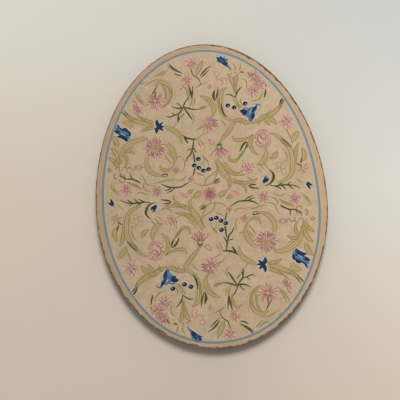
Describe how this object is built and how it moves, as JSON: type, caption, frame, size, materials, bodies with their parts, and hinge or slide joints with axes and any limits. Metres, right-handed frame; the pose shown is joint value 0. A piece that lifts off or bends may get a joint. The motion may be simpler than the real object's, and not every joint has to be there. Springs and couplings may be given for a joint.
{
  "type": "hand mirror",
  "caption": "Flat oval hand mirror without a handle: printed board on one side, framed mirror glass on the other.",
  "frame": {"origin": "middle of the mirror side, on the plane that the mirror ring rests on", "axes": "+Z out of the decorated side, +Y along the long axis of the oval, +X along the short axis"},
  "size_m": [0.074, 0.1, 0.0038],
  "materials": {
    "printed_paper": "matt printed art paper",
    "glue_film": "dry adhesive film",
    "scorched_board": "laser-cut board, scorched edge",
    "tape": "double-sided tape",
    "backing_paint": "protective mirror paint",
    "silver": "silver coat",
    "glass": "polished float glass, seamed edge"
  },
  "bodies": {
    "root": {"printed_face": "printed_paper", "face_glue": "glue_film", "face_board": "scorched_board", "ring_glue": "glue_film", "mirror_ring": "scorched_board", "mirror_tape": "tape", "mirror_paint": "backing_paint", "mirror_silver": "silver", "mirror_glass": "glass"}
  },
  "joints": []
}
